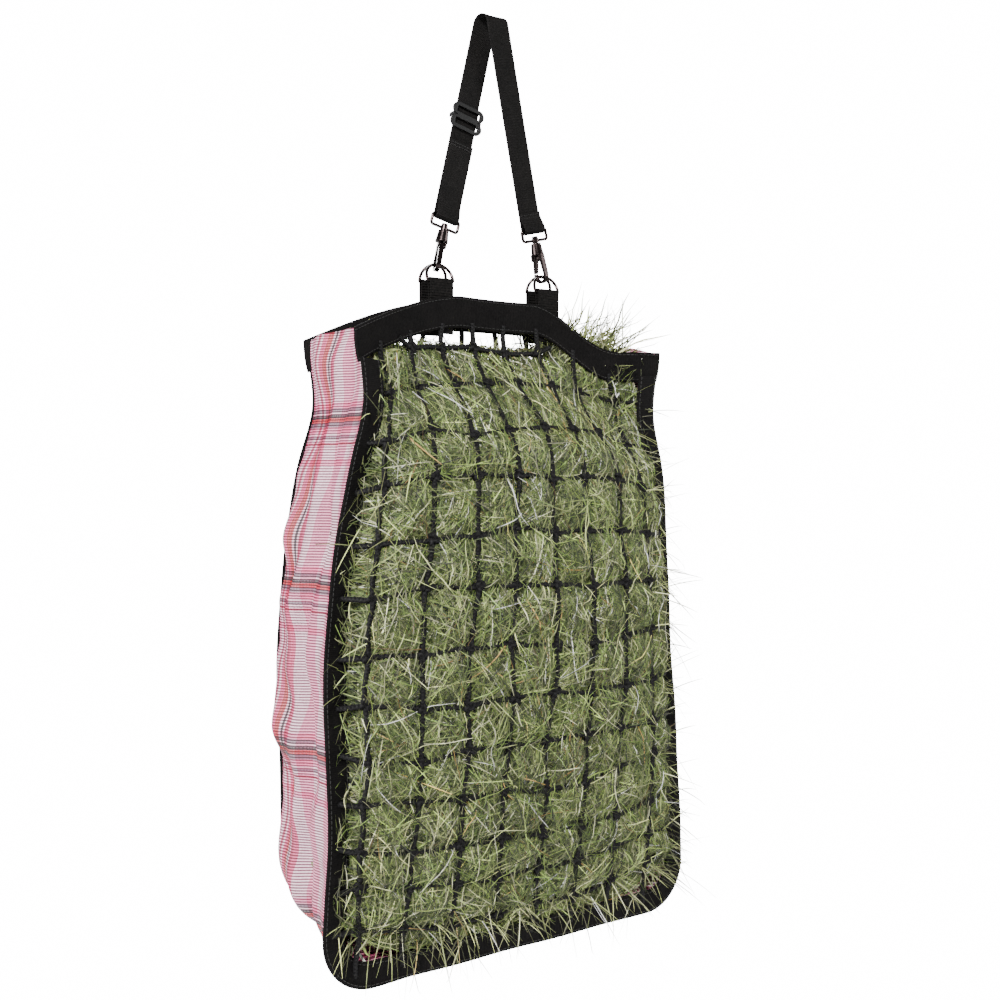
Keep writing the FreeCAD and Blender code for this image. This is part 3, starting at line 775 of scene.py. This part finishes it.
def hay_depth(face, x, z):
    sign = -1 if face == "front" else 1
    y = net_y(face, x, z) - sign * (4.5 - 11.0 * pillow(face, x, z))
    room = half_width(FRONT if face == "front" else BACK, z) - np.abs(x)
    y = np.where(room < 28, np.clip(y, 3 - FACE_Y, FACE_Y - 3), y)
    if face == "back":
        floor_y = (z - FRONT["z_low"] - 12) / ((BACK["z_low"] - FRONT["z_low"]) / (2 * FACE_Y)) - FACE_Y
        y = np.minimum(y, np.where(z < BACK["z_low"] + 30, floor_y, y))
    return y


def hay_core_painted_shade():
    """The dense inside, coloured near black: painted shade in the gaps between the stems."""
    levels = np.linspace(-352, -897, 90)
    n = 60
    rings = []
    for z in levels:
        drop = min(z - FRONT["z_low"] - 8, CORNER_R)
        corner = CORNER_R - math.sqrt(max(CORNER_R**2 - (CORNER_R - drop) ** 2, 0))
        corner += 60 * max(0.0, (-838 - z) / 55) ** 1.5
        lo = -(float(hay_limit(FRONT, -1, z)) - 10 - corner)
        hi = float(hay_limit(FRONT, 1, z)) - 10 - corner
        x = (lo + hi) / 2 + (hi - lo) / 2 * np.sin(np.linspace(-math.pi / 2, math.pi / 2, n))
        yf = hay_depth("front", x, np.full(n, z)) + 9
        yb = hay_depth("back", x, np.full(n, z)) - 9
        yb = np.maximum(yb, yf + 2)
        lift = np.where(z > -372, 6 * wobble(81, x, 5, 0.03, 0.12) - 4, 0)
        rings.append(np.concatenate([np.stack([x, yf, z + lift], 1), np.stack([x, yb, z + lift], 1)[::-1]]))
    pts = np.array(rings)
    rough = rng.normal(0, 1.2, pts.shape)
    pts = pts + rough
    cols = 2 * n
    faces = grid_faces(len(levels), cols, True).tolist()
    for row in (0, len(levels) - 1):
        for k in range(n - 1):
            a, b = row * cols + k, row * cols + k + 1
            c, d = row * cols + cols - 2 - k, row * cols + cols - 1 - k
            faces.append([a, b, c, d])
    # This dark sheet is painted shade seen between the stems
    obj = add_mesh("hay_core_painted_shade", pts.reshape(-1, 3), faces, M_CORE, "bag")
    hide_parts("hay_fill")
    return obj


hay_core_painted_shade()

PALETTE = np.array([
    (0.10, 0.15, 0.035), (0.15, 0.20, 0.05), (0.21, 0.26, 0.08), (0.30, 0.34, 0.13), (0.06, 0.09, 0.02),
    (0.48, 0.50, 0.26), (0.66, 0.66, 0.42), (0.13, 0.18, 0.06), (0.40, 0.25, 0.08), (0.03, 0.045, 0.01),
])
CHANCE = np.array([0.16, 0.18, 0.16, 0.13, 0.10, 0.09, 0.06, 0.06, 0.015, 0.045])


def stems_through(name, pts, width, flat, colour):
    n, k = pts.shape[:2]
    pts[..., 1] = np.clip(pts[..., 1], -HAY_REACH, HAY_REACH)
    t = unit(np.gradient(pts, axis=1))
    side = unit(np.cross(t, flat))
    nrm = np.cross(side, t)
    taper = np.interp(np.linspace(0, 1, k), [0, 0.12, 0.7, 1], [0.55, 1, 0.85, 0.2])[None, :, None]
    w = width[:, None, None] * taper / 2
    a = pts - side * w
    b = pts + nrm * w * 0.75
    c = pts + side * w
    verts = np.stack([a, b, c], 2).reshape(-1, 3)
    base = (np.arange(n) * k * 3)[:, None, None]
    r = (np.arange(k - 1) * 3)[None, :, None]
    quad = []
    for j in (0, 1):
        corners = [base + r + j + step for step in (0, 1, 4, 3)]
        quad.append(np.stack(corners, -1).reshape(-1, 4))
    faces = np.concatenate(quad)
    shade = np.clip(rng.lognormal(-0.42, 0.95, (n, 1, 1)), 0.04, 3.6)
    tint = np.broadcast_to(colour[:, None, :] * shade, (n, k * 3, 3)).reshape(-1, 3)
    tint = np.concatenate([np.clip(tint, 0, 1), np.ones((len(tint), 1))], 1)
    return add_mesh(name, verts, faces, M_HAY, "bag", tint=tint)


def pick_colours(n, pale=0.0):
    c = PALETTE[rng.choice(len(PALETTE), n, p=CHANCE / CHANCE.sum())]
    if pale:
        c = c * (1 - pale) + np.array([0.55, 0.54, 0.27]) * pale
    return c


def panel_hay(face, name, n, depth, reach, width, k=6):
    """Stems lying on one face of the hay, under and through its net."""
    sign = -1 if face == "front" else 1
    panel = FRONT if face == "front" else BACK
    span = -345 - hay_floor(panel, 0.0)
    z0 = -345 - rng.uniform(0, 1, n) ** 0.95 * span
    x0 = rng.uniform(-1, 1, n) * (half_width(panel, z0) - 14)
    angle = rng.normal(math.pi / 2, 0.75, n) * rng.choice([-1, 1], n)
    loose = rng.uniform(0, 1, n) < 0.35
    angle = np.where(loose, rng.uniform(0, 2 * math.pi, n), angle)
    length = rng.uniform(*reach, n)
    bend = rng.normal(0, 0.28, n)
    s = np.linspace(-0.5, 0.5, k)[None, :]
    turn = angle[:, None] + bend[:, None] * s + 0.07 * np.sin(6 * s + rng.uniform(0, 6, (n, 1)))
    d = length[:, None] / (k - 1)
    x = x0[:, None] + np.cumsum(np.cos(turn) * d, 1) - np.cos(angle)[:, None] * length[:, None] / 2
    z = z0[:, None] + np.cumsum(np.sin(turn) * d, 1) - np.sin(angle)[:, None] * length[:, None] / 2
    z = np.clip(z, hay_floor(panel, x) + rng.uniform(0, 8, (n, 1)), -330)
    x = np.clip(x, -hay_limit(panel, -1, z), hay_limit(panel, 1, z))
    y = hay_depth(face, x, z) - sign * rng.uniform(*depth, n)[:, None]
    pokes_out = rng.uniform(0, 1, n) < 0.07
    poke = np.where(pokes_out, rng.uniform(5, 26, n), 0)[:, None] * np.clip(s * 2, 0, 1) ** 2
    y = y + sign * (poke + rng.normal(0, 1.1, (n, k)))
    mouth = mouth_y(x, FRONT["top"]) - 3
    y = np.where(z > arch(x) - BAND_H - 8, np.clip(y, -mouth, mouth), y)
    pts = np.stack([x, y, z], -1)
    flat = unit(rng.normal(0, 0.5, (n, 1, 3)) + np.array([0, float(sign), 0]))
    return stems_through(name, pts, width, flat, pick_colours(n))


many = 1.0
for face_name, share in [("front", 1.0), ("back", 0.8)]:
    for layer, (count, depth, reach, wide) in enumerate([
        (5200, (4.0, 10.0), (30, 90), (1.2, 2.6)),
        (8600, (0.0, 7.0), (24, 80), (0.7, 1.7)),
        (9600, (-2.0, 4.0), (20, 70), (0.5, 1.25)),
        (8600, (-4.5, 2.0), (18, 62), (0.4, 1.05)),
    ]):
        count = int(count * share * many)
        wide = rng.uniform(*wide, count) * 1.0
        panel_hay(face_name, f"hay_{face_name}_{layer}", count, depth, reach, wide)


def side_hay(name, n, k=6):
    """Stems against the inside of the strip and over the bottom, seen past the net's edges."""
    z0 = -360 - rng.uniform(0, 1, n) * 520
    side = rng.choice([-1.0, 1.0], n)
    narrower = 24 + 17 * np.clip((z0 + 560) / 230, 0, 1) ** 2
    x0 = side * (half_width(FRONT, z0) - narrower - rng.uniform(0, 14, n))
    y0 = rng.uniform(-44, 40, n)
    step = rng.normal(0, 1, (n, 1, 3)) + rng.normal(0, 0.35, (n, k, 3))
    step[..., 0] *= 0.25
    step = unit(step) * rng.uniform(6, 16, (n, 1, 1))
    pts = np.stack([x0, y0, z0], -1)[:, None, :] + np.cumsum(step, 1)
    limit = half_width(FRONT, pts[..., 2]) - 12 - 15 * np.clip((pts[..., 2] + 560) / 230, 0, 1) ** 2
    pts[..., 0] = np.clip(pts[..., 0], -limit, limit)
    pts[..., 1] = np.clip(pts[..., 1], -49, 47)
    low = FRONT["z_low"] + 14 + (pts[..., 1] + FACE_Y) * 0.743
    over = np.clip(np.abs(pts[..., 0]) - (half_width(FRONT, pts[..., 2]) - 56), 0, 49)
    pts[..., 2] = np.clip(pts[..., 2], low + 54 - np.sqrt(2500 - over**2), -345)
    flat = unit(rng.normal(0, 1, (n, 1, 3)))
    return stems_through(name, pts, rng.uniform(1.0, 2.6, n), flat, pick_colours(n))


side_hay("hay_sides", int(3500 * many))


def crown(name, n, centre, spread, rise, k=8, pale=0.45, width=(0.5, 1.3), lean=(0.25, 0.0)):
    """Loose stems that stand out of the mouth."""
    x0 = centre[0] + rng.normal(0, 1, n) * spread[0]
    y0 = centre[1] + rng.normal(0, 1, n) * spread[1]
    z0 = centre[2] + rng.normal(0, 1, n) * spread[2]
    d = rng.normal(0, 0.75, (n, 3)) + np.array([lean[0], lean[1], 1.0])
    d = unit(d)
    bend = rng.normal(0, 0.35, (n, 1, 3)) + np.array([0.15, 0, -0.35])
    s = np.linspace(0, 1, k)[None, :, None]
    length = rng.uniform(*rise, (n, 1, 1))
    pts = np.stack([x0, y0, z0], -1)[:, None, :] + length * (d[:, None, :] * s + bend * s * s * 0.6)
    pts += rng.normal(0, 0.5, pts.shape)
    inside = np.abs(pts[..., 0])
    wall = mouth_y(inside, 175.0) - 2.5
    low = pts[..., 2] < arch(pts[..., 0]) + 3
    pts[..., 1] = np.where(low, np.clip(pts[..., 1], -wall, wall), pts[..., 1])
    pts[..., 1] = np.clip(pts[..., 1], -100, 100)
    pts[..., 0] = np.clip(pts[..., 0], -158, 158 + np.maximum(pts[..., 2] + 322, 0) * 0.9)
    pts[..., 0] = np.clip(pts[..., 0], -200, 212)
    flat = unit(rng.normal(0, 1, (n, 1, 3)))
    return stems_through(name, pts, rng.uniform(*width, n), flat, pick_colours(n, pale))


crown("hay_top_right", 620, (112, 2, -340), (27, 16, 8), (26, 74), width=(0.9, 2.0), pale=0.2)
crown("hay_top_left", 160, (-112, 6, -352), (28, 16, 6), (18, 40), lean=(0, 0))
crown("hay_top_mid", 160, (20, 0, -345), (55, 5, 6), (15, 42), lean=(0, 0))


def loose_ends(name, n, k=7):
    """Stems that have worked out through the net near its edges, and stand clear of the bag."""
    z0 = rng.uniform(-880, -380, n)
    side = np.where(rng.uniform(0, 1, n) < 0.5, -1.0, 1.0)
    x0 = side * (half_width(FRONT, z0) - rng.uniform(16, 60, n))
    y0 = net_y("front", x0, z0) + 3
    d = np.stack([side * rng.uniform(0.1, 1.0, n), -rng.uniform(0.25, 1.0, n), rng.normal(-0.1, 0.65, n)], 1)
    under = rng.uniform(0, 1, n) < 0.3
    x0 = np.where(under, rng.uniform(-150, 160, n), x0)
    z0 = np.where(under, FRONT["z_low"] + rng.uniform(26, 60, n), z0)
    y0 = np.where(under, net_y("front", x0, z0) + 3, y0)
    hanging = [rng.normal(0, 0.7, n), -rng.uniform(0.3, 0.9, n), -rng.uniform(0.1, 0.9, n)]
    d = np.where(under[:, None], np.stack(hanging, 1), d)
    d = unit(d)
    s = np.linspace(0, 1, k)[None, :, None]
    length = rng.uniform(16, 52, (n, 1, 1))
    drop = np.array([0, 0, -0.18]) + rng.normal(0, 0.1, (n, 1, 3))
    pts = np.stack([x0, y0, z0], -1)[:, None, :] + length * (d[:, None, :] * s + drop * s * s)
    pts[..., 0] = np.clip(pts[..., 0], -210, 220)
    pts[..., 1] = np.clip(pts[..., 1], -108, 100)
    pts[..., 2] = np.maximum(pts[..., 2], -922)
    flat = unit(rng.normal(0, 1, (n, 1, 3)))
    return stems_through(name, pts, rng.uniform(0.5, 1.3, n), flat, pick_colours(n, 0.3))


loose_ends("hay_loose_ends", int(620 * max(many, 0.6)))


# ---------------------------------------------------------------- finishes on the CAD pieces

for node_name, obj in nodes.items():
    if any(word in node_name for word in ("d_ring", "swivel", "hook_body", "gate")):
        mat = M_METAL
    elif node_name == "slider_frame":
        mat = M_PLASTIC
    elif node_name.endswith("_tab"):
        mat = M_TAB
    elif node_name == "strap_return_webbing":
        mat = M_RETURN
    else:
        continue
    if not obj.material_slots:
        obj.data.materials.append(None)
    for place in obj.material_slots:
        place.link = "OBJECT"
        place.material = mat


# ---------------------------------------------------------------- stage, light and camera


SKY_SEEN, SKY_LIGHT = 16.0, 0.22  # the white backdrop's strength as seen, and as light


def floor():
    m, tree, bsdf = material("floor", 0.9)
    bsdf.inputs["Base Color"].default_value = (0.93, 0.93, 0.93, 1)
    g = Graph(tree)
    glow = g.node("ShaderNodeEmission")
    glow.inputs["Strength"].default_value = SKY_SEEN
    both = g.node("ShaderNodeMixShader")
    g.put(both.inputs[0], g.node("ShaderNodeLightPath").outputs["Is Camera Ray"])
    g.put(both.inputs[1], bsdf.outputs[0])
    g.put(both.inputs[2], glow.outputs[0])
    g.put(tree.nodes["Material Output"].inputs[0], both.outputs[0])
    me = bpy.data.meshes.new("floor")
    me.from_pydata([(-9, -9, -1.5), (9, -9, -1.5), (9, 9, -1.5), (-9, 9, -1.5)], [], [(0, 1, 2, 3)])
    me.materials.append(m)
    obj = bpy.data.objects.new("floor", me)
    bpy.context.scene.collection.objects.link(obj)


def area_light(name, place, target, size, power):
    data = bpy.data.lights.new(name, "AREA")
    data.shape = "DISK"
    data.size = size
    data.energy = power
    obj = bpy.data.objects.new(name, data)
    obj.location = place
    way = Vector(target) - Vector(place)
    obj.rotation_euler = way.to_track_quat("-Z", "Y").to_euler()
    bpy.context.scene.collection.objects.link(obj)


floor()
world = bpy.data.worlds.new("world")
world.use_nodes = True
world.node_tree.nodes["Background"].inputs["Color"].default_value = (1, 1, 1, 1)
sky = Graph(world.node_tree)
seen = sky.math("MULTIPLY", sky.node("ShaderNodeLightPath").outputs["Is Camera Ray"], SKY_SEEN - SKY_LIGHT)
sky.put(world.node_tree.nodes["Background"].inputs["Strength"], sky.math("ADD", seen, SKY_LIGHT))
bpy.context.scene.world = world
area_light("key", (-1.7, -1.9, 1.1), (0, 0, -0.55), 0.6, 150)
area_light("fill", (1.9, -1.3, 0.1), (0, 0, -0.55), 1.1, 30)
area_light("left", (-2.3, 0.1, 0.0), (0, 0, -0.55), 1.2, 55)
area_light("back", (0.6, 2.2, 0.8), (0, 0, -0.5), 1.3, 60)

camera_data = bpy.data.cameras.new("camera")
camera_data.lens = 41.26
camera_data.sensor_width = 36
camera_data.shift_y = -0.024
camera_data.clip_start = 0.05
camera = bpy.data.objects.new("camera", camera_data)
camera.location = (-0.6183, -0.9691, -0.4595)
camera.rotation_euler = Vector((0.5446, 0.8387, 0)).to_track_quat("-Z", "Y").to_euler()
bpy.context.scene.collection.objects.link(camera)
bpy.context.scene.camera = camera
